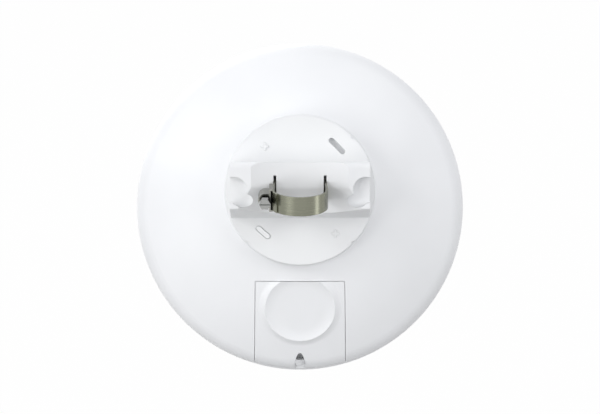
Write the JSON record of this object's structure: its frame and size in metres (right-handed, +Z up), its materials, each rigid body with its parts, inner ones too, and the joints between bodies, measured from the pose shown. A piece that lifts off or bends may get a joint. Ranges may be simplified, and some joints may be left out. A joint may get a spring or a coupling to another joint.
{
  "type": "pole-mounted dish antenna",
  "caption": "Round enclosed dish antenna with a cable door, on a tilting saddle bracket held to a pole by a worm-drive band clamp.",
  "frame": {"origin": "centre of the pole clamp, on the pole's axis at half the band's width", "axes": "+Z up along the pole, +Y the way the antenna points when level, +X to the right seen from behind"},
  "size_m": [0.245, 0.1523, 0.236],
  "materials": {
    "shell_asa": "satin moulded",
    "door_asa": "satin moulded",
    "radome_asa": "satin moulded",
    "bracket_asa": "satin moulded",
    "latch_asa": "satin moulded",
    "seal_silicone": "matt",
    "grommet_epdm": "matt",
    "reflector_aluminium": "spun",
    "horn_aluminium": "turned",
    "support_polystyrene": "clear-milky",
    "splash_aluminium": "turned",
    "contact_bronze": "gold-flashed",
    "board_laminate": "solder mask",
    "shield_tin_steel": "tin-plated",
    "chip_epoxy": "moulded epoxy",
    "thermal_silicone": "soft",
    "jack_shell_steel": "tin-plated",
    "switch_plastic": "moulded",
    "button_plastic": "moulded",
    "ring_nylon": "glass-filled",
    "screw_stainless": "passivated",
    "band_stainless": "rolled strip",
    "housing_stainless": "pressed",
    "worm_stainless": "zinc-plated"
  },
  "bodies": {
    "clamp": {"clamp_band": "band_stainless", "clamp_housing": "housing_stainless"},
    "clamp_worm": {"clamp_screw": "worm_stainless"},
    "bracket": {"mount_bracket": "bracket_asa"},
    "latch": {"lock_latch": "latch_asa"},
    "door": {"port_door": "door_asa"},
    "button": {"reset_button": "button_plastic"},
    "dish": {"back_shell": "shell_asa", "radome": "radome_asa", "rim_seal": "seal_silicone", "cable_grommet": "grommet_epdm", "reflector": "reflector_aluminium", "feed_horn": "horn_aluminium", "feed_support": "support_polystyrene", "splash_plate": "splash_aluminium", "feed_probe": "contact_bronze", "main_board": "board_laminate", "rf_shield": "shield_tin_steel", "radio_chip": "chip_epoxy", "thermal_pad": "thermal_silicone", "ethernet_jack": "jack_shell_steel", "jack_contacts": "contact_bronze", "reset_switch": "switch_plastic", "lock_ring": "ring_nylon", "ring_screws": "screw_stainless", "board_screws": "screw_stainless", "reflector_screws": "screw_stainless", "feed_screws": "screw_stainless"}
  },
  "joints": [
    {"name": "tilt", "type": "hinge", "parent": "clamp", "child": "bracket", "pos_m": [0, 0.02515, 0], "axis": [1, 0, 0], "range_deg": [0, 18]},
    {"name": "turn", "type": "hinge", "parent": "bracket", "child": "dish", "pos_m": [0, 0.03617, -0.00621], "axis": [0, 0.9511, -0.309], "range_deg": [0, 30]},
    {"name": "door_slide", "type": "slide", "parent": "dish", "child": "door", "axis": [0, -0.309, -0.9511], "range_m": [0, 0.015]},
    {"name": "button_press", "type": "slide", "parent": "dish", "child": "button", "axis": [0, 0.309, 0.9511], "range_m": [0, 0.0008], "stiffness_N_per_m": 1000},
    {"name": "latch_press", "type": "slide", "parent": "bracket", "child": "latch", "axis": [0, 0.9511, -0.309], "range_m": [0, 0.0008], "stiffness_N_per_m": 1500},
    {"name": "worm_spin", "type": "hinge", "parent": "clamp", "child": "clamp_worm", "pos_m": [-0.02455, 0, 0], "axis": [0, -1, 0], "continuous": true}
  ]
}
